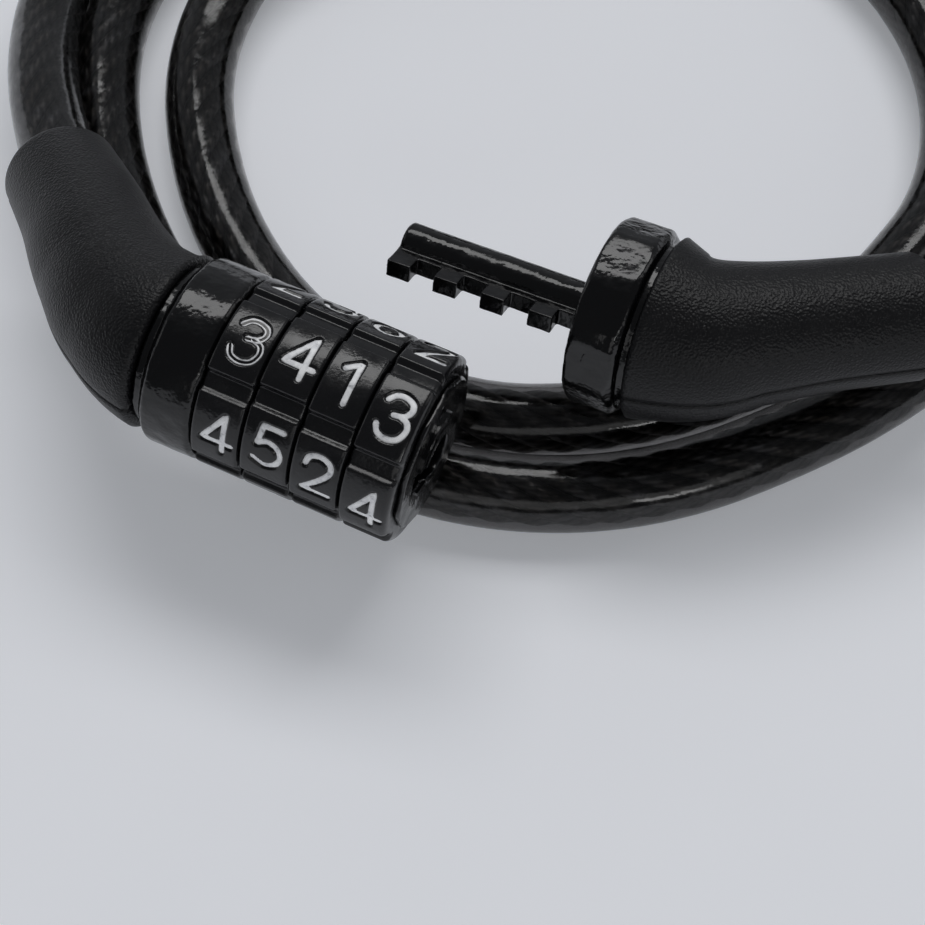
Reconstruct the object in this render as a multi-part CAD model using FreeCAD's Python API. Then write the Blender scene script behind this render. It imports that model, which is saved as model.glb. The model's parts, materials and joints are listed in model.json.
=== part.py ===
import FreeCAD, Part
import math
import os

# Four-dial combination cable lock, lying open on a table. Millimetres, +Z up.
# The origin is the middle of the coiled cable, on the surface it rests on.
V = FreeCAD.Vector
X_AXIS = V(1, 0, 0)

# ---- cable ----
cable_r = 5.0                 # transparent jacket
rope_r = 3.0                  # bare steel rope inside it
coil_step = 7.5               # degrees between the coil's sections

# ---- shared head sizes ----
head_r = 12.0                 # barrel, collar and wheels
neck_r = 10.4                 # dark gap between collar and boot
spigot_r = 8.6                # boss that the boot shells clamp on
groove_r = 7.6
crimp_r = 4.95
crimp_len = 10.3
pin_r = 0.9
boot_wall = 2.2
facet_count = 10              # flats round the collar and the front cap
fit_gap = 0.05                # radial clearance of every running fit

# ---- number wheels ----
wheel_count = 4
wheel_pitch = 6.5
wheel_gap = 0.1               # half of the gap between two wheels
digit_count = 6
pad_groove_w = 2.4
pad_groove_depth = 0.7
wheel_phase = (79.2, 82.5, 79.5, 70.7)   # degrees of one number pad above the keyway side
chamber_r = 6.1               # room for the key's teeth inside a wheel
ring_seat_r = 8.0             # gate ring pressed in here
recess_r = 7.9                # recess in a wheel's rear face
boss_r = 7.6                  # ferrule's boss, inside that recess
gate_start = 4.4              # gate web, from the wheel's rear plane
gate_end = 5.8
gate_notch_w = 3.2
gate_notch_r = 6.1

# ---- lock core ----
ferrule_len = 7.2
core_r = 4.0
core_rear = -6.2
keyhole_rear = 0.0
cap_len = 0.6
cap_r = 9.8
stack_len = wheel_count * wheel_pitch
cap_front = stack_len + cap_len
core_front = cap_front + 0.5
clip_groove_r = 3.5
spring_floor = 3.15           # flat that the leaf spring lies in, from the axis
lock_pin_x = -13.2

# ---- key bolt ----
rod_r = 2.5
rod_clear = 0.15
exposed_len = 26.7
comb_roll = 18.5              # degrees that the comb is turned up
comb_low = -1.98
comb_high = 0.39
rib_reach = 3.6
tooth_reach = 5.8
tooth_len = 3.2
collar_len = 7.0
collar_gap = 0.5              # collar stops short of the boot plane
key_pin_x = 5.4
jacket_in_boot = 8.0          # how far the cable's jacket runs into a boot

# ---- where the two heads lie ----
lock_origin = V(-42.9, -56.2, 23.3)
lock_yaw, lock_pitch = -24.6, -3.5
key_origin = V(7.9, -49.35, 22.8)
key_yaw, key_pitch = -25.5, 2.3

# boots: centre and radius at stations from the collar to the mouth
lock_boot_stations = [(V(-55.7, -48.2, 23.6), 10.2), (V(-60.0, -40.9, 22.5), 9.1),
                      (V(-64.7, -29.8, 19.9), 8.2), (V(-69.0, -20.6, 17.3), 7.7)]
key_boot_stations = [(V(14.2, -51.5, 23.2), 10.2), (V(20.0, -51.2, 23.6), 8.9),
                     (V(28.4, -49.8, 23.3), 8.2), (V(41.2, -47.5, 22.4), 8.0)]

# ---- route of the cable where it isn't coiled ----
key_lead = [V(51.0, -45.9, 21.2), V(68.0, -36.0, 19.6), V(80.0, -20.0, 18.0), V(85.0, -1.0, 16.6),
            V(82.5, 19.0, 15.8), V(72.5, 36.0, 15.4), V(57.0, 48.0, 15.3)]
lock_lead = [V(-74.2, -3.0, 13.4), V(-76.4, 13.0, 9.7), V(-75.6, 28.0, 6.9), V(-71.3, 42.0, 5.4),
             V(-63.5, 54.0, 5.05)]

# coil: (angle, centre of the inner strand, centre of the outer strand, height of its top)
coil_outline = [(0, 56, 68, 10.1), (22, 57.5, 70, 10.1), (40, 58, 73, 20.5), (65, 60, 73, 20.5),
                (90, 60, 74.5, 20.5), (110, 58, 77, 19.5), (130, 57, 80, 15),
                (147, 57, 81, 10.1), (165, 55.4, 71.5, 10.1),
                (180, 53, 66.5, 10.1), (205, 51.7, 63.6, 10.1), (230, 52.6, 63.6, 10.1),
                (255, 53.2, 63.6, 10.1), (275, 51, 62.6, 10.1), (295, 50, 60.8, 10.1),
                (320, 50.8, 62.6, 10.1), (340, 53.6, 65.6, 10.1)]


def local_frame(origin, yaw, pitch):
    return FreeCAD.Placement(origin, FreeCAD.Rotation(yaw, -pitch, 0))


lock_frame = local_frame(lock_origin, lock_yaw, lock_pitch)
key_frame = local_frame(key_origin, key_yaw, key_pitch)


def put(shape, frame):
    """A copy of a shape made along X, set down in its place on the object."""
    return shape.transformed(frame.toMatrix(), copy=True)


def turned(profile):
    """Solid of revolution about X, from (x, radius) corners."""
    corners = [V(x, 0, r) for x, r in profile]
    face = Part.Face(Part.makePolygon(corners + corners[:1]))
    return face.revolve(V(0, 0, 0), X_AXIS, 360)


def cylinder(x0, x1, radius):
    return Part.makeCylinder(radius, x1 - x0, V(x0, 0, 0), X_AXIS)


def ring(x0, x1, outer_r, inner_r):
    return turned([(x0, inner_r), (x1, inner_r), (x1, outer_r), (x0, outer_r)])


def keyway_box(x0, x1, reach, low, high):
    """Box from the axis out towards the keyway side, rolled with the comb."""
    box = Part.makeBox(x1 - x0, reach, high - low, V(x0, -reach, low))
    box.rotate(V(0, 0, 0), X_AXIS, -comb_roll)
    return box


def cross_pin(x, half_len, radius):
    return Part.makeCylinder(radius, 2 * half_len, V(x, -half_len, 0), V(0, 1, 0))


def slot_limits(clearance):
    return comb_low - clearance, comb_high + clearance


def tube_along(points, radius):
    """Straight runs joined by the largest tangent arcs the runs allow."""
    edges = []
    start = points[0]
    for before, corner, after in zip(points, points[1:], points[2:]):
        run_in = corner - before
        run_out = after - corner
        turn = run_in.getAngle(run_out)
        setback = 0.45 * min(run_in.Length, run_out.Length)
        bend_r = setback / math.tan(turn / 2)
        into = V(run_in).normalize()
        out = V(run_out).normalize()
        arc_start = corner - into * setback
        arc_end = corner + out * setback
        bisector = (out - into).normalize()
        middle_gap = bend_r * (1 / math.cos(turn / 2) - 1)
        edges.append(Part.LineSegment(start, arc_start).toShape())
        edges.append(Part.Arc(arc_start, corner + bisector * middle_gap, arc_end).toShape())
        start = arc_end
    edges.append(Part.LineSegment(start, points[-1]).toShape())
    wire = Part.Wire(edges)
    section = Part.Wire(Part.Circle(points[0], points[1] - points[0], radius).toShape())
    return wire.makePipeShell([section], True, True)


def centreline(points, direction):
    """Smooth curve through a boot's stations, leaving the collar square to it."""
    curve = Part.BSplineCurve()
    curve.interpolate(Points=points, InitialTangent=direction,
                      FinalTangent=V(points[-1] - points[-2]).normalize())
    return curve


def boot_sections(curve, first=0.0, last=1.0, count=13):
    """Share along a boot's centreline, with the place, heading and two cross directions there."""
    for i in range(count):
        t = first + (last - first) * i / (count - 1)
        where = curve.FirstParameter + t * (curve.LastParameter - curve.FirstParameter)
        heading = curve.tangent(where)[0]
        side = heading.cross(V(0, 0, 1)).normalize()
        yield t, curve.value(where), heading, side, side.cross(heading)


def boot_room(curve, radius_at, first, last):
    """The hollow inside a boot, round all the way along."""
    rings = []
    for t, centre, heading, side, crown in boot_sections(curve, first, last):
        circle = Part.Wire(Part.Circle(V(0, 0, 0), V(0, 0, 1), radius_at(t) - boot_wall).toShape())
        turn = FreeCAD.Rotation(crown, heading.cross(crown), heading, "ZXY")
        circle.Placement = FreeCAD.Placement(centre, turn)
        rings.append(circle)
    return Part.makeLoft(rings, True, True)


def half_boot(curve, radius_at, rise):
    """Upper (rise 1) or lower (rise -1) half of a boot before it is hollowed."""
    sections = []
    for t, centre, heading, side, crown in boot_sections(curve):
        near = centre + side * radius_at(t)
        far = centre - side * radius_at(t)
        arc = Part.Arc(near, centre + crown * (rise * radius_at(t)), far).toShape()
        sections.append(Part.Wire([arc, Part.LineSegment(far, near).toShape()]))
    return Part.makeLoft(sections, True, True)


def radius_profile(curve, points, radii):
    """Radius as a smooth function of the share of the way along the centreline."""
    span = curve.LastParameter - curve.FirstParameter
    shares = [(curve.parameter(p) - curve.FirstParameter) / span for p in points]

    def radius_at(t):
        for (t0, r0), (t1, r1) in zip(zip(shares, radii), zip(shares[1:], radii[1:])):
            if t <= t1 or t1 == shares[-1]:
                k = min(max((t - t0) / (t1 - t0), 0.0), 1.0)
                return r0 + (r1 - r0) * k
    return radius_at


def boot_mouth(stations):
    """Middle of a boot's mouth and the direction out of it."""
    mouth = stations[-1][0]
    return mouth, V(mouth - stations[-2][0]).normalize()


def make_boot(frame, collar_x, spigot_x, first_radius, stations, inner_parts):
    """Hollow elbow over the cable's end, as an upper and a lower shell with room for what is in it."""
    along = 1 if collar_x > 0 else -1
    start = frame.multVec(V(collar_x, 0, 0))
    heading = frame.Rotation.multVec(V(along, 0, 0))
    points = [start] + [p for p, r in stations]
    radii = [first_radius] + [r for p, r in stations]
    curve = centreline(points, heading)
    radius_at = radius_profile(curve, points, radii)
    room = boot_room(curve, radius_at, 0.16, 0.86)
    low, high = sorted((collar_x, spigot_x + along * 0.1))
    seat = put(cylinder(low, high, spigot_r + fit_gap), frame)
    groove_low, groove_high = groove_span(collar_x, along)
    lip = put(ring(groove_low + 0.1, groove_high - 0.1, spigot_r + 1.0, groove_r + fit_gap), frame)
    halves = [half_boot(curve, radius_at, rise) for rise in (1, -1)]
    shells = []
    for half, other in (halves, halves[::-1]):
        shell = half.cut(room).cut(seat)
        for part in inner_parts:
            shell = shell.cut(part)
        shells.append(shell.fuse(lip.cut(other)))
    return shells


def groove_span(collar_x, along):
    return sorted((collar_x + along * 1.5, collar_x + along * 3.1))


def collar_with_spigot(front, rear, neck_end, spigot_end, along):
    """Painted metal collar: chamfered drum, dark neck, grooved boss and crimp pocket."""
    chamfer = 0.8
    groove_a = neck_end + along * 1.5
    groove_b = neck_end + along * 3.1
    return turned([(front, 0), (front, head_r - 0.5), (front + along * 0.5, head_r),
                   (rear - along * chamfer, head_r), (rear, head_r - chamfer), (rear, neck_r),
                   (neck_end, neck_r), (neck_end, spigot_r), (groove_a, spigot_r),
                   (groove_a, groove_r), (groove_b, groove_r), (groove_b, spigot_r),
                   (spigot_end, spigot_r), (spigot_end, 0)])


def crimp_sleeve(x0, x1, pin_x):
    chamfer = 0.5
    sleeve = turned([(x0, rope_r), (x1, rope_r), (x1, crimp_r - chamfer), (x1 - chamfer, crimp_r),
                     (x0 + chamfer, crimp_r), (x0, crimp_r - chamfer)])
    return sleeve.cut(cross_pin(pin_x, crimp_r + 1, pin_r))


def rope_line(frame, inner_x, bend_x, stations):
    """Middle of the bare rope, from the crimp to where its jacket begins inside the boot."""
    mouth, out = boot_mouth(stations)
    return [frame.multVec(V(inner_x, 0, 0)), frame.multVec(V(bend_x, 0, 0)),
            mouth - out * jacket_in_boot]


def rope_stub(frame, line, pin_x):
    hole = put(cross_pin(pin_x, crimp_r, pin_r), frame)
    return tube_along(line, rope_r).cut(hole)


def boot_hollows(frame, line, crimp_x0, crimp_x1, lead):
    """Room in a boot for the crimp, the bare rope and the cable's jacket."""
    crimp_room = put(cylinder(crimp_x0, crimp_x1, crimp_r + 0.2), frame)
    jacket_start = line[-1]
    heading = V(lead[0] - jacket_start).normalize()
    bore = Part.makeCylinder(cable_r + fit_gap, 16, jacket_start - heading, heading)
    return [crimp_room, tube_along(line, rope_r + 0.2), bore]


def make_ferrule():
    neck_end = -ferrule_len - 1.3
    spigot_end = -14.6
    drum = collar_with_spigot(0.0, -ferrule_len, neck_end, spigot_end, -1)
    boss = cylinder(-0.1, 0.3, boss_r)
    pocket = cylinder(spigot_end, -6.6, crimp_r + fit_gap)
    core_seat = cylinder(core_rear, 0.6, core_r)
    pin_hole = cross_pin(lock_pin_x, spigot_r + 1, pin_r)
    return drum.fuse(boss).cut(pocket.fuse([core_seat, pin_hole]))


def make_core_tube():
    """Slotted tube that the wheels turn on and the key bolt slides into."""
    low, high = slot_limits(0.2)
    body = cylinder(core_rear, core_front, core_r)
    bore = cylinder(keyhole_rear, core_front + 1, rod_r + rod_clear)
    slot = keyway_box(keyhole_rear, core_front + 1, core_r + 1, low, high)
    spring_flat = Part.makeBox(stack_len - 1.8, 2, 3.0, V(1.1, spring_floor, -1.5))
    spring_flat.rotate(V(0, 0, 0), X_AXIS, -comb_roll)
    clip_groove = ring(cap_front, core_front - 0.1, core_r + 1, clip_groove_r)
    return body.cut(bore.fuse([slot, spring_flat, clip_groove]))


def make_detent_spring():
    """Leaf spring in the core's flat, with one hump under each gate ring."""
    leaf = Part.makeBox(stack_len - 2.0, 0.25, 2.8, V(1.2, spring_floor, -1.4))
    humps = []
    for i in range(wheel_count):
        x = i * wheel_pitch + (gate_start + gate_end) / 2
        hump = Part.makeCylinder(0.6, 2.4, V(x, spring_floor + 0.1, -1.2), V(0, 0, 1))
        above = Part.makeBox(2, 1, 4, V(x - 1, spring_floor, -2))
        humps.append(hump.common(above))
    spring = leaf.fuse(humps)
    spring.rotate(V(0, 0, 0), X_AXIS, -comb_roll)
    return spring


def make_wheel(index):
    """Ring with six number pads, stepped inside for its gate ring."""
    rear = index * wheel_pitch + wheel_gap
    front = (index + 1) * wheel_pitch - wheel_gap
    x = index * wheel_pitch
    edge = 0.45
    front_edge = 0.9 if index == wheel_count - 1 else edge
    body = turned([(rear, recess_r), (x + 0.9, recess_r), (x + 0.9, chamber_r),
                   (x + 4.0, chamber_r), (x + 4.0, ring_seat_r), (front, ring_seat_r),
                   (front, head_r - front_edge), (front - front_edge, head_r),
                   (rear + edge, head_r), (rear, head_r - edge)])
    grooves = []
    floor_r = head_r - pad_groove_depth
    for n in range(digit_count):
        angle = wheel_phase[index] + 360 / digit_count * (n + 0.5)
        bottom_half, top_half = pad_groove_w / 2 - 0.35, pad_groove_w / 2 + 0.25
        corners = [V(rear - 1, -floor_r, -bottom_half), V(rear - 1, -floor_r, bottom_half),
                   V(rear - 1, -head_r - 1, top_half), V(rear - 1, -head_r - 1, -top_half)]
        face = Part.Face(Part.makePolygon(corners + corners[:1]))
        groove = face.extrude(V(front - rear + 2, 0, 0))
        groove.rotate(V(0, 0, 0), X_AXIS, -angle)
        grooves.append(groove)
    return body.cut(grooves)


def make_gate_ring(index):
    """Notched ring in each wheel: the key's teeth pass only where its notch is."""
    x = index * wheel_pitch
    body = turned([(x + 4.05, 6.6), (x + gate_start, 6.6), (x + gate_start, core_r + fit_gap),
                   (x + gate_end, core_r + fit_gap), (x + gate_end, 7.2),
                   (x + 6.3, 7.2), (x + 6.3, ring_seat_r), (x + 4.05, ring_seat_r)])
    low = (comb_low + comb_high - gate_notch_w) / 2
    notch = keyway_box(x + 4, x + 8, gate_notch_r, low, low + gate_notch_w)
    return body.cut(notch.cut(cylinder(x + 3, x + 9, 1)))


def make_wave_washer():
    return ring(0.35, 0.75, boss_r, chamber_r)


def make_front_cap():
    """Faceted end plate with the keyhole, held on the core by the clip."""
    low, high = slot_limits(0.2)
    chamfer = 0.3
    body = turned([(stack_len, 0), (stack_len, cap_r), (cap_front - chamfer, cap_r),
                   (cap_front, cap_r - chamfer), (cap_front, 0)])
    prism = regular_prism(facet_count, cap_r - 0.35, stack_len - 1, cap_front + 1)
    keyhole = keyway_box(stack_len, cap_front + 1, chamber_r, low, high)
    core_hole = cylinder(stack_len, cap_front + 1, core_r)
    return body.common(prism).cut(keyhole.fuse(core_hole))


def regular_prism(sides, inner_radius, x0, x1):
    outer_radius = inner_radius / math.cos(math.pi / sides)
    corners = []
    for n in range(sides + 1):
        angle = 2 * math.pi * n / sides
        corners.append(V(x0, outer_radius * math.cos(angle), outer_radius * math.sin(angle)))
    return Part.Face(Part.makePolygon(corners)).extrude(V(x1 - x0, 0, 0))


def make_retaining_clip():
    """Open ring in the core's end groove, with its gap over the keyway."""
    low, high = slot_limits(0.6)
    gap = keyway_box(cap_front - 1, core_front + 1, head_r, low, high)
    return ring(cap_front, core_front - 0.15, chamber_r - 0.6, clip_groove_r).cut(gap)


def make_key_bolt():
    """Rod with a four-tooth comb, headed inside the collar."""
    root = -collar_len
    tip = root - exposed_len
    chamfer = 0.4
    rod = turned([(tip, 0), (tip, rod_r - chamfer), (tip + chamfer, rod_r), (-2.0, rod_r),
                  (-2.0, core_r), (0.6, core_r), (0.6, 0)])
    rib = keyway_box(tip, root, rib_reach, comb_low, comb_high)
    teeth = []
    for i in range(wheel_count):
        start = tip + i * wheel_pitch
        teeth.append(keyway_box(start, start + tooth_len, tooth_reach, comb_low, comb_high))
    return rod.fuse([rib] + teeth).removeSplitter()


def make_key_collar():
    neck_end = 0.6
    spigot_end = 7.0
    drum = collar_with_spigot(-collar_len, -collar_gap, neck_end, spigot_end, 1)
    prism = regular_prism(facet_count, 11.7, -collar_len - 1, spigot_end + 1)
    shaft_hole = cylinder(-collar_len - 1, -1.9, rod_r)
    head_hole = cylinder(-2.0, 0.6, core_r)
    pocket = cylinder(0.6, spigot_end, crimp_r + fit_gap)
    pin_hole = cross_pin(key_pin_x, spigot_r + 1, pin_r)
    return drum.common(prism).cut(shaft_hole.fuse([head_hole, pocket, pin_hole]))


def coil_section(angle, inner, outer, top):
    """Rounded rectangle round the strands, standing across the coil."""
    theta = math.radians(angle)
    out = V(math.cos(theta), math.sin(theta), 0)
    up = V(0, 0, 1)
    low_mid, high_mid = cable_r, top - cable_r + 0.02

    def at(r, z):
        return out * r + up * z
    diagonal = cable_r * math.sqrt(0.5)
    corners = [(inner, low_mid, -1, -1), (outer, low_mid, 1, -1),
               (outer, high_mid, 1, 1), (inner, high_mid, -1, 1)]
    edges = []
    previous = None
    first = None
    for n, (r, z, side, rise) in enumerate(corners):
        flat = at(r, z + rise * cable_r)
        upright = at(r + side * cable_r, z)
        begin, end = (upright, flat) if n % 2 == 0 else (flat, upright)
        if previous is not None:
            edges.append(Part.LineSegment(previous, begin).toShape())
        else:
            first = begin
        middle = at(r + side * diagonal, z + rise * diagonal)
        edges.append(Part.Arc(begin, middle, end).toShape())
        previous = end
    edges.append(Part.LineSegment(previous, first).toShape())
    return Part.Wire(edges)


def outline_at(angle):
    """Coil outline at any angle: a smooth periodic curve through the listed rows."""
    rows = coil_outline
    count = len(rows)
    n = max(k for k in range(count) if rows[k][0] <= angle)
    around = [rows[(n + k) % count] for k in (-1, 0, 1, 2)]
    span = (around[2][0] - around[1][0]) % 360
    t = (angle - around[1][0]) / span
    values = [angle]
    for column in (1, 2, 3):
        a, b, c, d = [row[column] for row in around]
        values.append(b + 0.5 * t * (c - a + t * (2 * a - 5 * b + 4 * c - d
                                                  + t * (3 * (b - c) + d - a))))
    values[3] = max(values[3], 2 * cable_r)
    return values


def make_coil():
    """The coiled cable as one ring: the outer shape of its turns."""
    steps = round(360 / coil_step)
    sections = [coil_section(*outline_at(k * coil_step)) for k in range(steps)]
    return Part.makeLoft(sections + sections[:1], True, True)


def save(name, shape):
    solids = shape.Solids
    result = solids[0] if len(solids) == 1 else Part.makeCompound(solids)
    if not result.isValid():
        print("NOT VALID", name)
    result.exportStep("parts/" + name + ".step")
    box = result.BoundBox
    print(name, len(solids), "solid(s)", round(result.Volume, 1), "mm3",
          [round(v, 1) for v in (box.XMin, box.YMin, box.ZMin, box.XMax, box.YMax, box.ZMax)])


def main():
    os.makedirs("parts", exist_ok=True)
    lock_rope = rope_line(lock_frame, -6.8, -25.5, lock_boot_stations)
    hollows = boot_hollows(lock_frame, lock_rope, -7.0 - crimp_len, -14.0, lock_lead)
    upper, lower = make_boot(lock_frame, -ferrule_len - 1.3, -14.6, 11.5, lock_boot_stations, hollows)
    save("lock_boot_upper", upper)
    save("lock_boot_lower", lower)
    save("lock_ferrule", put(make_ferrule(), lock_frame))
    save("lock_crimp", put(crimp_sleeve(-6.7 - crimp_len, -6.7, lock_pin_x), lock_frame))
    save("lock_crimp_pin", put(cross_pin(lock_pin_x, spigot_r - 0.1, pin_r), lock_frame))
    save("lock_rope_end", rope_stub(lock_frame, lock_rope, lock_pin_x))
    save("core_tube", put(make_core_tube(), lock_frame))
    save("detent_leaf_spring", put(make_detent_spring(), lock_frame))
    save("wave_washer", put(make_wave_washer(), lock_frame))
    for i in range(wheel_count):
        save("number_wheel_%d" % (i + 1), put(make_wheel(i), lock_frame))
        save("gate_ring_%d" % (i + 1), put(make_gate_ring(i), lock_frame))
    save("front_cap", put(make_front_cap(), lock_frame))
    save("retaining_clip", put(make_retaining_clip(), lock_frame))

    key_rope = rope_line(key_frame, 0.8, 18.5, key_boot_stations)
    hollows = boot_hollows(key_frame, key_rope, 6.5, 1.0 + crimp_len, key_lead)
    upper, lower = make_boot(key_frame, 0.6, 7.0, 11.8, key_boot_stations, hollows)
    save("key_boot_upper", upper)
    save("key_boot_lower", lower)
    save("key_collar", put(make_key_collar(), key_frame))
    save("key_bolt", put(make_key_bolt(), key_frame))
    save("key_crimp", put(crimp_sleeve(0.7, 0.7 + crimp_len, key_pin_x), key_frame))
    save("key_crimp_pin", put(cross_pin(key_pin_x, spigot_r - 0.1, pin_r), key_frame))
    save("key_rope_end", rope_stub(key_frame, key_rope, key_pin_x))

    save("cable_lock_end", tube_along([lock_rope[-1]] + lock_lead, cable_r))
    save("cable_key_end", tube_along([key_rope[-1]] + key_lead, cable_r))
    save("cable_coil", make_coil())


main()
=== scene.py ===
import json
import math

import bmesh
import bpy
import numpy as np
from mathutils import Matrix, Vector, noise


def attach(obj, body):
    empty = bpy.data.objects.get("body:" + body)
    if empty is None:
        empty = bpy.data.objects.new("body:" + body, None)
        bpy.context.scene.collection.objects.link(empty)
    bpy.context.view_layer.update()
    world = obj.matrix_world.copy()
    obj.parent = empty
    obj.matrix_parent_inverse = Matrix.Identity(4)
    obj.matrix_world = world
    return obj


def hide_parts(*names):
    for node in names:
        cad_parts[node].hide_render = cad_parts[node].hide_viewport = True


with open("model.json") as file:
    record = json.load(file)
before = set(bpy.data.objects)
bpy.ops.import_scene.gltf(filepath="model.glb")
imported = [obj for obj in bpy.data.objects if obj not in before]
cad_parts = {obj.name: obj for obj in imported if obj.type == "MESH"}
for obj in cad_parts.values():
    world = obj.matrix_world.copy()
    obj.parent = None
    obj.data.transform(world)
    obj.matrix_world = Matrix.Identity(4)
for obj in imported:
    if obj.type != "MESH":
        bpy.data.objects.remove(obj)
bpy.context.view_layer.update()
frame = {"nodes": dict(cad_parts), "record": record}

MM = 0.001
ROOT = "heads_and_cable"

# ---- cable, millimetres ----
cable_r = 5.0
jacket_in_boot = 8.0
strand_count = 6
strand_r = 0.98
strand_ring_r = 1.85          # middle of a strand, from the rope's middle
core_strand_r = 1.0
rope_lay = 30.0               # length in which a strand goes once round the rope
wire_lay = 9.0

# ---- number wheels ----
wheel_pitch = 6.5
wheel_gap = 0.1
head_r = 12.0
digit_count = 6
wheel_phase = (79.2, 82.5, 79.5, 70.7)   # angle of one number pad above the keyway side
wheel_digit = (3, 4, 1, 3)               # the number on that pad
wheel_edge, last_wheel_edge = 0.5, 0.9
rim_steps = 50                # points across a wheel's rim
pad_groove_floor = 0.85       # half the width of the flat floor of the groove between two pads
pad_groove_slope = 0.75
pad_groove_depth = 0.7
digit_w, digit_h = 3.95, 5.5
stroke_r = 0.40               # half the width of a number's painted line
engraved = 0.32
digit_ahead = 0.25            # numbers sit this much nearer the front than the middle
digit_nudge = {(1, 5): 0.45, (0, 3): -0.1}    # (wheel, number): set this much high
worn_digits = {(0, 3)}        # paint left only along the edges

# ---- the two heads, as in the CAD source ----
lock_frame = (Vector((-42.9, -56.2, 23.3)), -24.6, -3.5)
key_frame = (Vector((7.9, -49.35, 22.8)), -25.5, 2.3)
boot_wall = 2.2
collar_edge, mouth_edge = 0.5, 0.3    # rounding of a boot's two ends
parting_gap = 0.035           # half the gap between a boot's shells
parting_drop, parting_width = 0.14, 0.45    # how the shells fall away towards it
lock_boot_start = (-8.5, 11.5)
key_boot_start = (0.6, 11.8)
lock_boot_stations = [((-55.7, -48.2, 23.6), 10.2), ((-60.0, -40.9, 22.5), 9.1),
                      ((-64.7, -29.8, 19.9), 8.2), ((-69.0, -20.6, 17.3), 7.7)]
key_boot_stations = [((14.2, -51.5, 23.2), 10.2), ((20.0, -51.2, 23.6), 8.9),
                     ((28.4, -49.8, 23.3), 8.2), ((41.2, -47.5, 22.4), 8.0)]

# ---- route of the cable's middle ----
key_lead = [(51.0, -45.9, 21.2), (68.0, -36.0, 19.6), (80.0, -20.0, 18.0), (85.0, -1.0, 16.6),
            (82.5, 19.0, 15.8), (72.5, 36.0, 15.4), (57.0, 48.0, 15.3)]
lock_lead = [(-74.2, -3.0, 13.4), (-76.4, 13.0, 9.7), (-75.6, 28.0, 6.9), (-71.3, 42.0, 5.4),
             (-63.5, 54.0, 5.05)]
# turns of the coil: (angle round from +X, radius, height), crossing on top and then two on the table
coil_rows = [(40, 74.5, 15.3), (65, 68.5, 15.3), (90, 62, 15.3), (110, 58.3, 15.0), (130, 57, 10.5),
             (150, 57, 5.5), (165, 55.4, 5), (188, 52.2, 5), (205, 51.7, 5), (230, 52.6, 5),
             (253, 53.3, 5), (270, 51.6, 5), (290, 50, 5), (308, 50.4, 5), (328, 51.4, 5),
             (342, 54, 5), (360, 56, 5), (382, 57.5, 5), (420, 60, 5), (450, 63, 5), (470, 66, 5),
             (490, 69, 5), (510, 71.6, 5), (525, 70.2, 5), (541, 66.5, 5), (565, 63.7, 5),
             (590, 63.7, 5), (615, 63.7, 5), (632, 62.8, 5), (655, 60.8, 5), (668, 61.4, 5),
             (700, 65.5, 5), (720, 68, 5), (742, 70, 5), (780, 72.2, 5), (810, 75.2, 5),
             (835, 79.5, 5), (859.6, 83.4, 5.05)]
coil_step = 12.0              # degrees between the control points of a turn


# ================= small helpers =================

def head_matrix(place):
    origin, yaw, pitch = place
    turn = Matrix.Rotation(math.radians(yaw), 4, "Z") @ Matrix.Rotation(math.radians(-pitch), 4, "Y")
    return Matrix.Translation(origin * MM) @ turn


LOCK = head_matrix(lock_frame)


def mesh_object(name, points, faces, smooth=True):
    """A mesh object from points in metres."""
    mesh = bpy.data.meshes.new(name)
    mesh.from_pydata([tuple(p) for p in points], [], [tuple(f) for f in faces])
    mesh.update()
    if smooth:
        mesh.polygons.foreach_set("use_smooth", [True] * len(mesh.polygons))
    piece = bpy.data.objects.new(name, mesh)
    bpy.context.scene.collection.objects.link(piece)
    return piece


def grid_faces(rows, columns, close_rows=False, close_columns=False, first=0):
    """Quads of a grid whose points are numbered along its columns, row by row."""
    faces = []
    for i in range(rows if close_rows else rows - 1):
        for j in range(columns if close_columns else columns - 1):
            a = first + i * columns + j
            b = first + i * columns + (j + 1) % columns
            c = first + (i + 1) % rows * columns + (j + 1) % columns
            d = first + (i + 1) % rows * columns + j
            faces.append((a, b, c, d))
    return faces


def smooth_step(x):
    x = np.clip(x, 0.0, 1.0)
    return x * x * (3 - 2 * x)


def catmull(points, per_span):
    """Smooth curve through points, as many steps in each span as asked."""
    points = [np.array(p, float) for p in points]
    count = len(points)
    result = []
    for i in range(count - 1):
        a, b, c, d = [points[min(max(i + k, 0), count - 1)] for k in (-1, 0, 1, 2)]
        for s in range(per_span):
            t = s / per_span
            result.append(b + 0.5 * t * (c - a + t * (2 * a - 5 * b + 4 * c - d
                                                      + t * (3 * (b - c) + d - a))))
    result.append(points[-1])
    return np.array(result)


def smooth_line(points, heading, steps):
    """Curve through unevenly spaced points that leaves the first one in a given direction."""
    points = [np.array(p, float) for p in points]
    gaps = [np.linalg.norm(b - a) for a, b in zip(points, points[1:])]
    slopes = [np.array(heading, float)]
    for i in range(1, len(gaps)):
        into = (points[i] - points[i - 1]) / gaps[i - 1]
        out = (points[i + 1] - points[i]) / gaps[i]
        slopes.append((into * gaps[i] + out * gaps[i - 1]) / (gaps[i] + gaps[i - 1]))
    slopes.append((points[-1] - points[-2]) / gaps[-1])
    result = []
    for i, gap in enumerate(gaps):
        for t in np.arange(steps) / steps:
            leave, arrive = t ** 3 - 2 * t ** 2 + t, t ** 3 - t ** 2
            passed = 3 * t ** 2 - 2 * t ** 3
            result.append((1 - passed) * points[i] + leave * gap * slopes[i]
                          + passed * points[i + 1] + arrive * gap * slopes[i + 1])
    result.append(points[-1])
    return np.array(result)


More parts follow.
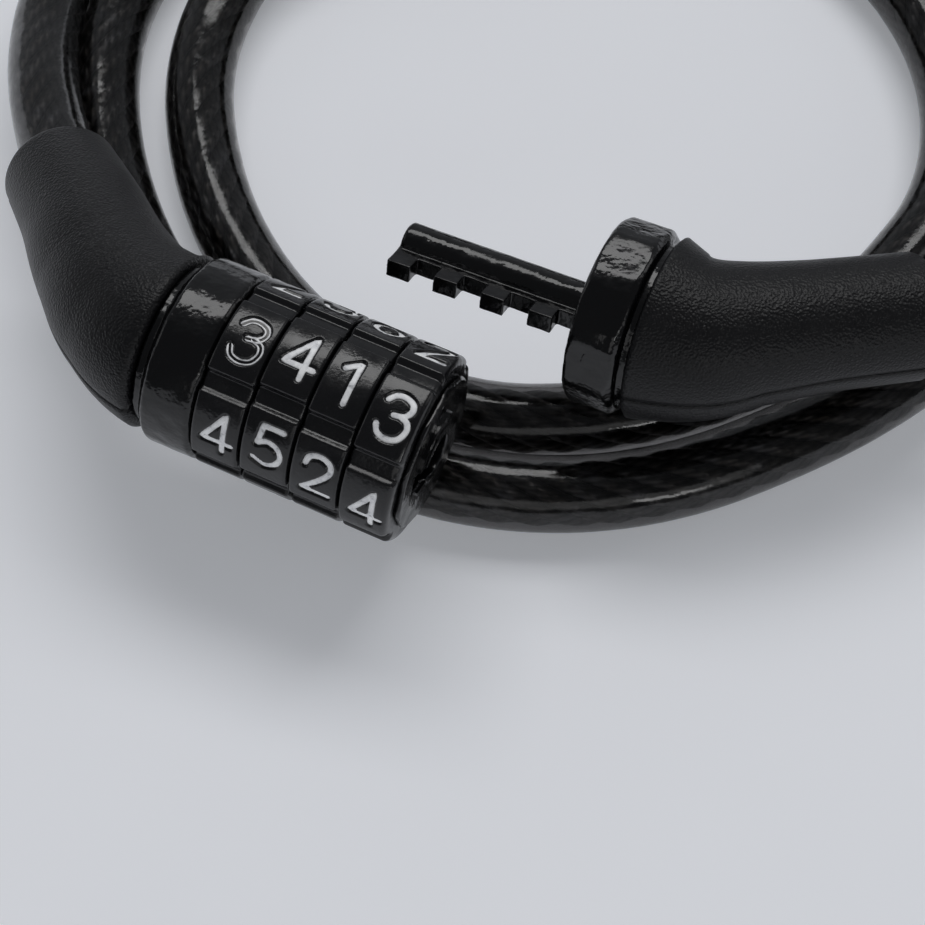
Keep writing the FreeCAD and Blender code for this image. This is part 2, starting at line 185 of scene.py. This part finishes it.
def frames_along(path):
    """Tangent and two cross directions at each point, carried along without twist."""
    path = np.asarray(path, float)
    tangents = np.gradient(path, axis=0)
    tangents /= np.linalg.norm(tangents, axis=1)[:, None]
    first = np.cross(tangents[0], (0.0, 0.0, 1.0))
    sides = [first / np.linalg.norm(first)]
    for t in tangents[1:]:
        side = sides[-1] - t * np.dot(sides[-1], t)
        sides.append(side / np.linalg.norm(side))
    sides = np.array(sides)
    return tangents, sides, np.cross(tangents, sides)


def lengths_along(path):
    steps = np.linalg.norm(np.diff(path, axis=0), axis=1)
    return np.concatenate([[0.0], np.cumsum(steps)])


# ================= materials =================

def new_material(name, colour, roughness, metallic=0.0, specular=0.5):
    material = bpy.data.materials.new(name)
    material.use_nodes = True
    shader = material.node_tree.nodes["Principled BSDF"]
    shader.inputs["Base Color"].default_value = (*colour, 1.0)
    shader.inputs["Roughness"].default_value = roughness
    shader.inputs["Metallic"].default_value = metallic
    shader.inputs["Specular IOR Level"].default_value = specular
    return material, shader


def add_node(material, kind, **values):
    node = material.node_tree.nodes.new(kind)
    for key, value in values.items():
        if key in node.inputs:
            node.inputs[key].default_value = value
        else:
            setattr(node, key, value)
    return node


def join(material, source, output, target, target_input):
    material.node_tree.links.new(source.outputs[output], target.inputs[target_input])


def noise_node(material, scale, detail=3.0, roughness=0.55, where="Object"):
    coordinates = add_node(material, "ShaderNodeTexCoord")
    texture = add_node(material, "ShaderNodeTexNoise", Scale=scale, Detail=detail, Roughness=roughness)
    join(material, coordinates, where, texture, "Vector")
    return texture


def ramp_node(material, source, output, stops):
    ramp = add_node(material, "ShaderNodeValToRGB")
    elements = ramp.color_ramp.elements
    while len(elements) < len(stops):
        elements.new(0.5)
    for element, (place, colour) in zip(elements, stops):
        element.position = place
        element.color = (*colour, 1.0)
    join(material, source, output, ramp, "Fac")
    return ramp


def spread_node(material, source, output, low, high, start=0.0, end=1.0):
    spread = add_node(material, "ShaderNodeMapRange")
    for key, value in (("From Min", start), ("From Max", end), ("To Min", low), ("To Max", high)):
        spread.inputs[key].default_value = value
    join(material, source, output, spread, "Value")
    return spread


def bump_chain(material, shader, layers):
    """Bump layers (texture node, output, height in metres) one on top of another."""
    previous = None
    for texture, output, height in layers:
        bump = add_node(material, "ShaderNodeBump", Strength=1.0, Distance=height)
        join(material, texture, output, bump, "Height")
        if previous:
            join(material, previous, "Normal", bump, "Normal")
        previous = bump
    join(material, previous, "Normal", shader, "Normal")


def boot_material():
    """Matt black moulding with a fine leather grain and a few pale scuffs."""
    material, shader = new_material("boot_plastic", (0.005, 0.005, 0.006), 0.40, specular=0.28)
    coordinates = add_node(material, "ShaderNodeTexCoord")
    grain = add_node(material, "ShaderNodeTexVoronoi", Scale=3300.0, Randomness=1.0)
    grain.feature = "SMOOTH_F1"
    join(material, coordinates, "Object", grain, "Vector")
    fine = noise_node(material, 3800.0, 2.0)
    broad = noise_node(material, 160.0, 3.0)
    bump_chain(material, shader, [(grain, "Distance", 0.00012), (fine, "Fac", 0.00002),
                                  (broad, "Fac", 0.00003)])
    rough = spread_node(material, broad, "Fac", 0.36, 0.42, 0.3, 0.7)
    join(material, rough, "Result", shader, "Roughness")
    tone = ramp_node(material, broad, "Fac", [(0.3, (0.005, 0.005, 0.006)), (0.7, (0.008, 0.008, 0.009))])
    join(material, tone, "Color", shader, "Base Color")
    return material


def paint_material():
    """Thick glossy black paint over a rough casting."""
    material, shader = new_material("head_paint", (0.003, 0.003, 0.0035), 0.12, specular=0.5)
    lumps = noise_node(material, 260.0, 3.0, 0.5)
    peel = noise_node(material, 1300.0, 2.0, 0.5)
    bump_chain(material, shader, [(lumps, "Fac", 0.0003), (peel, "Fac", 0.00004)])
    rough = spread_node(material, lumps, "Fac", 0.08, 0.2, 0.35, 0.65)
    join(material, rough, "Result", shader, "Roughness")
    return material


def wheel_material():
    """Glossy black moulding, a little worn and dusty."""
    material, shader = new_material("wheel_plastic", (0.004, 0.004, 0.005), 0.2, specular=0.5)
    smear = noise_node(material, 300.0, 4.0)
    dust = noise_node(material, 2400.0, 2.0)
    bump_chain(material, shader, [(smear, "Fac", 0.00012), (dust, "Fac", 0.00001)])
    rough = spread_node(material, smear, "Fac", 0.13, 0.3, 0.35, 0.7)
    join(material, rough, "Result", shader, "Roughness")
    specks = ramp_node(material, dust, "Fac", [(0.0, (0.005, 0.005, 0.006)), (0.7, (0.007, 0.007, 0.008)),
                                               (0.82, (0.04, 0.04, 0.042))])
    join(material, specks, "Color", shader, "Base Color")
    return material


def digit_material():
    """White paint that has flowed unevenly into the sunken numbers, with a faint glow of painted light."""
    material, shader = new_material("digit_paint", (0.93, 0.94, 0.96), 0.35)
    patches = noise_node(material, 900.0, 3.0)
    tone = ramp_node(material, patches, "Fac", [(0.28, (0.18, 0.19, 0.21)), (0.4, (0.72, 0.73, 0.76)),
                                                (0.6, (0.95, 0.96, 0.97))])
    join(material, tone, "Color", shader, "Base Color")
    # a faint glow: painted light that makes the numbers brighter than the lamps alone light them
    shader.inputs["Emission Color"].default_value = (0.95, 0.97, 1.0, 1.0)
    shader.inputs["Emission Strength"].default_value = 0.1
    bump_chain(material, shader, [(patches, "Fac", 0.00006)])
    return material


def metal_material(name, colour, roughness, grain=900.0, metallic=1.0):
    """Plain metal with a faint directional finish."""
    material, shader = new_material(name, colour, roughness, metallic=metallic)
    streaks = noise_node(material, grain, 4.0)
    rough = spread_node(material, streaks, "Fac", roughness * 0.7, roughness * 1.4, 0.3, 0.7)
    join(material, rough, "Result", shader, "Roughness")
    tone = ramp_node(material, streaks, "Fac", [(0.25, tuple(0.7 * c for c in colour)), (0.6, colour)])
    join(material, tone, "Color", shader, "Base Color")
    bump_chain(material, shader, [(streaks, "Fac", 0.00002)])
    return material


def jacket_material():
    """Smoky clear PVC: what is inside shows, softened by the jacket's own grey."""
    material, shader = new_material("cable_jacket", (0.15, 0.145, 0.145), 0.12, specular=0.3)
    shader.inputs["Transmission Weight"].default_value = 1.0
    shader.inputs["IOR"].default_value = 1.46
    waves = noise_node(material, 70.0, 2.0)
    scuffs = noise_node(material, 700.0, 4.0)
    bump_chain(material, shader, [(waves, "Fac", 0.0004), (scuffs, "Fac", 0.00003)])
    rough = spread_node(material, scuffs, "Fac", 0.05, 0.22, 0.4, 0.75)
    join(material, rough, "Result", shader, "Roughness")
    return material


def rope_material():
    """Wire strands whose tone wanders at random from oily brown to bluish grey, with painted shade
    darkening the gaps between the wires.
    """
    material, shader = new_material("rope_steel", (0.16, 0.15, 0.14), 0.38, metallic=0.85)
    coordinates = add_node(material, "ShaderNodeUVMap", uv_map="wires")
    wires = add_node(material, "ShaderNodeTexWave", Scale=1.0, Distortion=0.4, Detail=1.0)
    wires.bands_direction = "X"
    wires.wave_profile = "SIN"
    join(material, coordinates, "UV", wires, "Vector")
    tint = noise_node(material, 220.0, 3.0)
    tone = ramp_node(material, tint, "Fac", [(0.3, (0.075, 0.066, 0.052)), (0.55, (0.17, 0.165, 0.16)),
                                             (0.75, (0.24, 0.25, 0.27))])
    # painted shade: the colour darkens across each wire towards the gaps between neighbouring wires
    wire_gap_shade = ramp_node(material, wires, "Fac", [(0.0, (0.5, 0.5, 0.5)), (0.7, (1.0, 1.0, 1.0))])
    mix = add_node(material, "ShaderNodeMix", data_type="RGBA", blend_type="MULTIPLY")
    mix.inputs[0].default_value = 1.0
    material.node_tree.links.new(tone.outputs["Color"], mix.inputs[6])
    material.node_tree.links.new(wire_gap_shade.outputs["Color"], mix.inputs[7])
    material.node_tree.links.new(mix.outputs[2], shader.inputs["Base Color"])
    bump_chain(material, shader, [(wires, "Fac", 0.00006)])
    return material


materials = {
    "boot_plastic": boot_material(),
    "head_paint": paint_material(),
    "wheel_plastic": wheel_material(),
    "digit_paint": digit_material(),
    "gate_metal": metal_material("gate_metal", (0.5, 0.49, 0.47), 0.35),
    "spring_steel": metal_material("spring_steel", (0.42, 0.42, 0.44), 0.3),
    "crimp_metal": metal_material("crimp_metal", (0.6, 0.6, 0.62), 0.42),
    "rope_steel": rope_material(),
    "cable_jacket": jacket_material(),
}


def finish_piece(piece, slot, body=ROOT, stands_for=()):
    """Gives a new piece its material and its body, and hides the CAD nodes that it stands for."""
    piece.data.materials.clear()
    piece.data.materials.append(materials[slot])
    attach(piece, body)
    if stands_for:
        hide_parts(*stands_for)
    return piece


# ================= camera =================

look_at = Vector((-15.4, -55.0, 0.0)) * MM
elevation = math.radians(58.0)
distance = 260.0 * MM
camera_data = bpy.data.cameras.new("camera")
camera_data.lens = 76.75
camera_data.sensor_width = 36.0
camera_data.clip_start = 0.01
camera = bpy.data.objects.new("camera", camera_data)
camera.location = look_at + distance * Vector((0.0, -math.cos(elevation), math.sin(elevation)))
camera.rotation_euler = (math.pi / 2 - elevation, 0.0, 0.0)
bpy.context.scene.collection.objects.link(camera)
bpy.context.scene.camera = camera


# ================= cable =================

def cable_points():
    """Control points from inside the key boot, round the coil, to inside the lock boot."""
    key_mouth = Vector(key_boot_stations[-1][0])
    key_out = (key_mouth - Vector(key_boot_stations[-2][0])).normalized()
    lock_mouth = Vector(lock_boot_stations[-1][0])
    lock_out = (lock_mouth - Vector(lock_boot_stations[-2][0])).normalized()
    points = [key_mouth - key_out * jacket_in_boot, key_mouth - key_out * 2.0]
    points += [Vector(p) for p in key_lead[:-1]]
    # a spline cuts inside its control points, so the turns are drawn that much larger
    outward = 1.0 + 0.75 * (1.0 / math.cos(math.radians(coil_step / 2)) - 1.0)
    angles, radii, heights = (np.array(column, float) for column in zip(*coil_rows))
    steps = round((angles[-1] - angles[0]) / coil_step)
    for k in range(steps + 1):
        angle = angles[0] + (angles[-1] - angles[0]) * k / steps
        radius = float(np.interp(angle, angles, radii)) * outward
        height = float(np.interp(angle, angles, heights))
        turn = math.radians(angle)
        points.append(Vector((radius * math.cos(turn), radius * math.sin(turn), height)))
    points += [Vector(p) for p in reversed(lock_lead[:-1])]
    points += [lock_mouth + lock_out * -2.0, lock_mouth - lock_out * jacket_in_boot]
    return points


def route_line(points):
    """The route's own NURBS line, as points in metres."""
    curve = bpy.data.curves.new("route", "CURVE")
    curve.dimensions = "3D"
    curve.resolution_u = 10
    spline = curve.splines.new("NURBS")
    spline.points.add(len(points) - 1)
    for target, point in zip(spline.points, points):
        target.co = (*(point * MM), 1.0)
    spline.order_u = 3
    spline.use_endpoint_u = True
    holder = bpy.data.objects.new("route", curve)
    line = bpy.data.meshes.new_from_object(holder)
    path = np.array([v.co for v in line.vertices])
    bpy.data.objects.remove(holder)
    bpy.data.curves.remove(curve)
    bpy.data.meshes.remove(line)
    keep = np.concatenate([[True], np.linalg.norm(np.diff(path, axis=0), axis=1) > 1e-6])
    return path[keep]


def tube_mesh(name, path, radius, around=28):
    """Round closed tube along a path."""
    tangents, sides, ups = frames_along(path)
    turns = np.linspace(0, 2 * math.pi, around, endpoint=False)
    ring = (np.cos(turns)[None, :, None] * sides[:, None, :]
            + np.sin(turns)[None, :, None] * ups[:, None, :])
    points = (path[:, None, :] + radius * ring).reshape(-1, 3)
    faces = grid_faces(len(path), around, close_columns=True)
    faces.append(tuple(range(around - 1, -1, -1)))
    faces.append(tuple(range(len(points) - around, len(points))))
    return mesh_object(name, points, faces)


def rope_mesh(name, path, inset):
    """Six wire strands laid round a core, with a UV map that says where each wire runs."""
    tangents, sides, ups = frames_along(path)
    along = lengths_along(path)
    inner = (along > inset) & (along < along[-1] - inset)
    path, tangents, sides, ups, along = (a[inner] for a in (path, tangents, sides, ups, along))
    around = 10
    points, faces, wires = [], [], []
    lay = 2 * math.pi * along / (rope_lay * MM)
    slope = strand_ring_r / rope_lay * 2 * math.pi
    for strand in range(strand_count + 1):
        offset = strand * 2 * math.pi / strand_count
        centred = strand == strand_count
        ring_r = 0.0 if centred else strand_ring_r * MM
        radius = (core_strand_r if centred else strand_r) * MM
        out = np.cos(lay + offset)[:, None] * sides + np.sin(lay + offset)[:, None] * ups
        round_way = np.cross(tangents, out)
        middle = path + out * ring_r
        lean = tangents + round_way * (0.0 if centred else slope)
        lean /= np.linalg.norm(lean, axis=1)[:, None]
        across = np.cross(lean, out)
        turns = np.linspace(0, 2 * math.pi, around, endpoint=False)
        ring = (np.cos(turns)[None, :, None] * out[:, None, :]
                + np.sin(turns)[None, :, None] * across[:, None, :])
        first = len(points)
        points.extend((middle[:, None, :] + radius * ring).reshape(-1, 3))
        rows = len(path)
        strand_faces = grid_faces(rows, around, close_columns=True, first=first)
        faces.extend(strand_faces)
        for n in range(len(strand_faces)):
            i, j = divmod(n, around)
            for di, dj in ((0, 0), (0, 1), (1, 1), (1, 0)):
                wire = (j + dj) / around * 6.0 + along[i + di] / (wire_lay * MM) * 6.0
                wires.append((wire / 3.0, along[i + di] * 100.0))
        faces.append(tuple(range(first + around - 1, first - 1, -1)))
        wires.extend([(0.0, 0.0)] * around)
        faces.append(tuple(range(first + (rows - 1) * around, first + rows * around)))
        wires.extend([(0.0, 0.0)] * around)
    rope = mesh_object(name, points, faces)
    layer = rope.data.uv_layers.new(name="wires")
    layer.data.foreach_set("uv", np.array(wires, np.float32).ravel())
    return rope


path = route_line(cable_points())
jacket = tube_mesh("cable_jacket", path, cable_r * MM)
rope = rope_mesh("cable_rope", path, 0.0008)
finish_piece(jacket, "cable_jacket", stands_for=("cable_key_end", "cable_coil", "cable_lock_end"))
finish_piece(rope, "rope_steel")


# ================= boots =================

def boot_shells(name, place, start, stations, along, nodes):
    """Upper and lower shell of a boot: a tapering elbow with a rounded mouth and a parting line."""
    matrix = head_matrix(place)
    start_x, start_r = start
    first = matrix @ Vector((start_x * MM, 0, 0))
    heading = matrix.to_3x3() @ Vector((along, 0, 0))
    steps = 16
    middle = smooth_line([tuple(first / MM)] + [p for p, r in stations], tuple(heading), steps)
    marks = lengths_along(middle)
    radii = [start_r] + [r for p, r in stations]
    radius = np.interp(marks, marks[::steps], radii)
    window = np.ones(13) / 13
    radius = np.convolve(np.pad(radius, 6, "reflect", reflect_type="odd"), window, "valid")
    tangents = np.gradient(middle, axis=0)
    tangents /= np.linalg.norm(tangents, axis=1)[:, None]
    sides = np.cross(tangents, (0.0, 0.0, 1.0))
    sides /= np.linalg.norm(sides, axis=1)[:, None]
    crowns = np.cross(sides, tangents)
    # profile from the outside at the collar, over the mouth's rounded lip, and back inside
    run = lengths_along(middle)
    total = run[-1]
    profile = []
    for i in range(len(middle)):
        drop = edge_drop(run[i], collar_edge) + edge_drop(total - run[i], mouth_edge)
        profile.append((i, radius[i] - drop))
    last = len(middle) - 1
    for i in range(last, -1, -1):
        near_mouth = smooth_step((run[i] - total + 9.0) / 5.0)
        near_collar = 1.0 - smooth_step((run[i] - 6.5) / 2.0)
        inner = radius[i] - boot_wall
        inner = inner + (cable_r + 0.25 - inner) * near_mouth
        inner = inner + (8.9 - inner) * near_collar
        profile.append((i, inner))
    around = 40
    for half, rise in (("upper", 1), ("lower", -1)):
        points = []
        for i, r in profile:
            for k in range(around + 1):
                turn = math.pi * k / around
                # the shells round off towards the line where they meet
                edge = min(k, around - k) / around * math.pi * r
                outside = r > radius[i] - 1.5
                drop = parting_drop * (1 - min(edge / parting_width, 1.0)) ** 2 if outside else 0.0
                out = sides[i] * math.cos(turn) + crowns[i] * (rise * math.sin(turn))
                points.append((middle[i] + out * (r - drop) + crowns[i] * (rise * parting_gap)) * MM)
        faces = grid_faces(len(profile), around + 1, close_rows=True)
        rows = len(profile)
        half_rows = rows // 2
        for edge_column in (0, around):
            for i in range(half_rows - 1):
                a = i * (around + 1) + edge_column
                b = (i + 1) * (around + 1) + edge_column
                c = (rows - 2 - i) * (around + 1) + edge_column
                d = (rows - 1 - i) * (around + 1) + edge_column
                faces.append((a, b, c, d) if edge_column else (d, c, b, a))
        shell = mesh_object(name + "_" + half + "_shell", points, faces)
        tidy_mesh(shell)
        finish_piece(shell, "boot_plastic", stands_for=(nodes[0 if rise > 0 else 1],))


def edge_drop(distance_in, size):
    """How far a rounded edge falls away at a distance in from it."""
    if distance_in >= size:
        return 0.0
    return size - math.sqrt(max(size * size - (size - distance_in) ** 2, 0.0))


def tidy_mesh(piece):
    """Merges doubled points and turns all faces outwards."""
    work = bmesh.new()
    work.from_mesh(piece.data)
    bmesh.ops.remove_doubles(work, verts=work.verts, dist=0.000005)
    bmesh.ops.recalc_face_normals(work, faces=work.faces)
    work.to_mesh(piece.data)
    work.free()


boot_shells("lock_boot", lock_frame, lock_boot_start, lock_boot_stations, -1,
            ("lock_boot_upper", "lock_boot_lower"))
boot_shells("key_boot", key_frame, key_boot_start, key_boot_stations, 1,
            ("key_boot_upper", "key_boot_lower"))


# ================= painted castings =================

def painted(node, voxel, lumps, soften):
    """A CAD piece as it looks under thick paint: soft edges and an uneven skin."""
    piece = bpy.data.objects.new(node + "_painted", frame["nodes"][node].data.copy())
    bpy.context.scene.collection.objects.link(piece)
    remesh = piece.modifiers.new("remesh", "REMESH")
    remesh.mode = "VOXEL"
    remesh.voxel_size = voxel * MM
    remesh.use_smooth_shade = True
    soften_step = piece.modifiers.new("soften", "SMOOTH")
    soften_step.factor = 0.5
    soften_step.iterations = soften
    bpy.context.view_layer.update()
    evaluated = piece.evaluated_get(bpy.context.evaluated_depsgraph_get())
    mesh = bpy.data.meshes.new_from_object(evaluated)
    piece.modifiers.clear()
    piece.data = mesh
    count = len(mesh.vertices)
    spots, normals = np.empty(count * 3), np.empty(count * 3)
    mesh.vertices.foreach_get("co", spots)
    mesh.vertices.foreach_get("normal", normals)
    uneven = np.array([noise.noise(Vector(p)) for p in spots.reshape(-1, 3) * 520.0])
    moved = spots.reshape(-1, 3) + normals.reshape(-1, 3) * (lumps * MM * uneven)[:, None]
    mesh.vertices.foreach_set("co", moved.ravel())
    mesh.update()
    finish_piece(piece, "head_paint", ROOT, (node,))


painted("lock_ferrule", 0.22, 0.05, 4)
painted("key_collar", 0.22, 0.05, 4)
painted("key_bolt", 0.13, 0.04, 3)
painted("front_cap", 0.15, 0.04, 2)
painted("core_tube", 0.16, 0.04, 2)


# ================= number wheels =================

digit_strokes = {
    1: [("line", [(1.6, 12.2), (5.6, 15.8), (5.6, 0.0)])],
    2: [("curve", [(0.8, 11.8), (1.8, 14.8), (5, 16), (8.2, 14.6), (8.9, 11.4), (6.6, 7.2), (0.8, 0.2)]),
        ("line", [(0.8, 0.2), (9.4, 0.2)])],
    3: [("curve", [(0.9, 13.2), (2.6, 15.4), (5.2, 16), (8.1, 14.6), (8.8, 11.9), (7.3, 9.4), (4.2, 8.6)]),
        ("curve", [(6.2, 8.9), (8.8, 7.6), (9.5, 4.6), (8.0, 1.2), (4.7, 0), (1.6, 1.1), (0.4, 3.8)])],
    4: [("line", [(7.0, 0.0), (7.0, 16.0), (0.4, 4.4), (9.8, 4.4)])],
    5: [("line", [(8.8, 15.6), (2.4, 15.6), (1.5, 8.6)]),
        ("curve", [(1.5, 8.6), (4.6, 10.0), (7.9, 8.8), (9.3, 5.2), (7.9, 1.5), (4.5, 0), (0.8, 1.6)])],
    6: [("curve", [(7.8, 15.8), (3.6, 12.2), (1.0, 6.6), (1.5, 2.2), (5, 0), (8.6, 1.9), (9.1, 5.4),
                   (6.8, 8.8), (3.6, 8.6), (1.2, 5.6)])],
}


def stroke_lines(digit):
    """A number's lines in millimetres about its own middle, finely stepped."""
    lines = []
    for kind, points in digit_strokes[digit]:
        points = [((x - 5.0) / 10.0 * digit_w, (y - 8.0) / 16.0 * digit_h) for x, y in points]
        if kind == "line":
            fine = []
            steps = 14
            for a, b in zip(points, points[1:]):
                for s in range(steps):
                    fine.append((a[0] + (b[0] - a[0]) * s / steps, a[1] + (b[1] - a[1]) * s / steps))
            fine.append(points[-1])
            lines.append(np.array(fine))
        else:
            lines.append(catmull(points, 9))
    return lines


def wheel_profile(index):
    """Cross-section of a wheel as (x, radius, share of the pads' relief), once round."""
    rear = index * wheel_pitch + wheel_gap
    front = (index + 1) * wheel_pitch - wheel_gap
    front_edge = last_wheel_edge if index == 3 else wheel_edge
    profile = []
    for x in np.linspace(rear, front, rim_steps):
        drop = edge_drop(x - rear, wheel_edge) + edge_drop(front - x, front_edge)
        profile.append((x, head_r - drop, 1.0))
    for r in (11.0, 10.6, 9.4):
        profile.append((front, r - (0.3 if index == 3 else 0), 0.5 if r > 10.8 else 0.0))
    profile += [(front, 8.05, 0.0), (front - 2.3, 8.05, 0.0), (front - 2.3, 6.1, 0.0)]
    profile += [(rear + 0.8, 6.1, 0.0), (rear + 0.8, 7.9, 0.0), (rear, 7.9, 0.0)]
    for r in (9.4, 10.6, 11.0):
        profile.append((rear, r, 0.5 if r > 10.8 else 0.0))
    return profile


def wheel_pieces(index):
    """A number wheel with sunken numbers, and the paint that fills them."""
    body = "wheel_%d" % (index + 1)
    profile = wheel_profile(index)
    columns = 540
    angles = np.linspace(0, 2 * math.pi, columns, endpoint=False)
    pitch = 2 * math.pi / digit_count
    phase = math.radians(wheel_phase[index])
    # distance round the rim from the nearest gap between pads
    from_gap = (pitch / 2 - np.abs((angles - phase + pitch / 2) % pitch - pitch / 2)) * head_r
    relief = pad_groove_depth * (1 - smooth_step((from_gap - pad_groove_floor) / pad_groove_slope))
    xs = np.array([p[0] for p in profile])
    share = np.array([p[2] for p in profile])[:, None]
    radii = np.array([p[1] for p in profile])[:, None] - relief[None, :] * share
    # sink each number into its pad
    middle_x = (index + 0.5) * wheel_pitch + digit_ahead
    paint_points, paint_faces = [], []
    for n in range(digit_count):
        digit = (wheel_digit[index] - n - 1) % digit_count + 1
        centre = phase + n * pitch + digit_nudge.get((index, digit), 0.0) / head_r
        near = np.abs((angles - centre + math.pi) % (2 * math.pi) - math.pi) < pitch * 0.45
        columns_here = np.nonzero(near)[0]
        around = ((angles[columns_here] - centre + math.pi) % (2 * math.pi) - math.pi) * head_r
        lines = stroke_lines(digit)
        spots = np.vstack(lines)
        gx = (xs[:rim_steps, None] - middle_x)[..., None] - spots[None, None, :, 0]
        gy = around[None, :, None] - spots[None, None, :, 1]
        away = np.sqrt(gx ** 2 + gy ** 2).min(axis=2)
        sunk = engraved * (1 - smooth_step((away - stroke_r * 0.85) / (stroke_r * 0.55)))
        radii[np.ix_(range(rim_steps), columns_here)] -= sunk
        for line in lines:
            add_paint(paint_points, paint_faces, line, middle_x, centre, index * 31 + n,
                      (index, digit) in worn_digits)
    points = []
    for i, x in enumerate(xs):
        for j, a in enumerate(angles):
            points.append((x * MM, -radii[i, j] * math.cos(a) * MM, radii[i, j] * math.sin(a) * MM))
    wheel = mesh_object("number_wheel_%d_body" % (index + 1), points,
                        grid_faces(len(xs), columns, close_rows=True, close_columns=True))
    wheel.data.transform(LOCK)
    tidy_mesh(wheel)
    finish_piece(wheel, "wheel_plastic", body, ("number_wheel_%d" % (index + 1),))
    paint = mesh_object("number_wheel_%d_paint" % (index + 1), paint_points, paint_faces)
    paint.data.transform(LOCK)
    tidy_mesh(paint)
    finish_piece(paint, "digit_paint", body)


def add_paint(points, faces, line, middle_x, centre, seed, worn):
    """A low round-ended bead of paint along one line of a number."""
    count = len(line)
    ahead = np.roll(line, -1, axis=0) - np.roll(line, 1, axis=0)
    ahead[0] = line[1] - line[0]
    ahead[-1] = line[-1] - line[-2]
    ahead /= np.linalg.norm(ahead, axis=1)[:, None]
    left = np.stack([-ahead[:, 1], ahead[:, 0]], axis=1)
    floor_r = head_r - engraved - 0.1
    shape = [(-1.0, 0.0), (-0.95, 0.14), (-0.55, 0.2), (0.0, 0.17), (0.55, 0.2), (0.95, 0.14), (1.0, 0.0)]
    if worn:
        shape = [(x * 1.1, h if abs(x) > 0.5 else h - 0.3) for x, h in shape]
    columns = len(shape)
    first = len(points)
    runs = lengths_along(line)
    rows = []
    for i in range(count):
        wander = noise.noise(Vector((runs[i] * 1.7, seed * 3.1, 0.5)))
        rows.append((line[i], left[i], stroke_r * (1.0 + 0.09 * wander), 0.05 * wander, 0.0))
    for end, sign in ((0, -1), (count - 1, 1)):
        cap = []
        for push, width in ((0.55, 0.83), (0.86, 0.5), (1.0, 0.06)):
            at = line[end] + sign * ahead[end] * stroke_r * push
            cap.append((at, left[end], stroke_r * width, 0.0, push))
        rows = cap[::-1] + rows if sign < 0 else rows + cap
    for at, side, width, lift, push in rows:
        for across, height in shape:
            x, y = at + side * across * width
            r = floor_r + height * (1.0 - 0.3 * push) + lift * (1 if height > 0.1 else 0)
            a = centre + y / head_r
            points.append(((middle_x + x) * MM, -r * math.cos(a) * MM, r * math.sin(a) * MM))
    faces.extend(grid_faces(len(rows), columns, first=first))


for wheel_index in range(4):
    wheel_pieces(wheel_index)


# ================= materials of the CAD pieces that stay =================

for entry in frame["record"]["subparts"]:
    part_object = frame["nodes"][entry["node"]]
    part_object.data.materials.clear()
    part_object.data.materials.append(materials[entry["material_slot"]])


# ================= floor and light =================

def make_floor():
    floor = mesh_object("floor", [(-9, -9, 0), (9, -9, 0), (9, 9, 0), (-9, 9, 0)], [(0, 1, 2, 3)], False)
    material, shader = new_material("floor", (0.80, 0.81, 0.85), 0.6, specular=0.3)
    mottle = noise_node(material, 14.0, 3.0)
    tone = ramp_node(material, mottle, "Fac", [(0.3, (0.79, 0.80, 0.84)), (0.7, (0.81, 0.82, 0.86))])
    join(material, tone, "Color", shader, "Base Color")
    shader.inputs["Emission Color"].default_value = (0.92, 0.95, 1.0, 1.0)
    shader.inputs["Emission Strength"].default_value = 0.24
    floor.data.materials.append(material)


def area_light(name, place, size, watts):
    data = bpy.data.lights.new(name, "AREA")
    data.shape = "RECTANGLE"
    data.size, data.size_y = size
    data.energy = watts
    light = bpy.data.objects.new(name, data)
    light.location = place
    light.rotation_euler = (-Vector(place)).to_track_quat("-Z", "Y").to_euler()
    bpy.context.scene.collection.objects.link(light)


make_floor()
world = bpy.data.worlds.new("world")
world.use_nodes = True
background = world.node_tree.nodes["Background"]
background.inputs["Color"].default_value = (0.88, 0.91, 0.97, 1.0)
direction = add_node(world, "ShaderNodeTexCoord")
parts = add_node(world, "ShaderNodeSeparateXYZ")
join(world, direction, "Generated", parts, "Vector")
brightness = spread_node(world, parts, "Y", 0.1, 0.32, -0.1, 0.95)
join(world, brightness, "Result", background, "Strength")
bpy.context.scene.world = world
# name, place, (width, height), watts; every light faces the origin
for name, place, size, watts in (
        ("back_softbox", (0.2, 0.95, 1.85), (1.9, 0.8), 17.0),
        ("left_softbox", (-1.2, 0.2, 0.55), (0.4, 0.6), 0.4),
        ("right_softbox", (1.2, 0.2, 0.55), (0.4, 0.6), 0.6),
        ("front_panel", (0.2, -1.6, 0.7), (2.4, 0.7), 3.0),
        ("front_sparkle", (0.5, -1.0, 0.35), (0.3, 0.15), 0.5)):
    area_light(name, place, size, watts)
bpy.context.scene.view_settings.view_transform = "Standard"
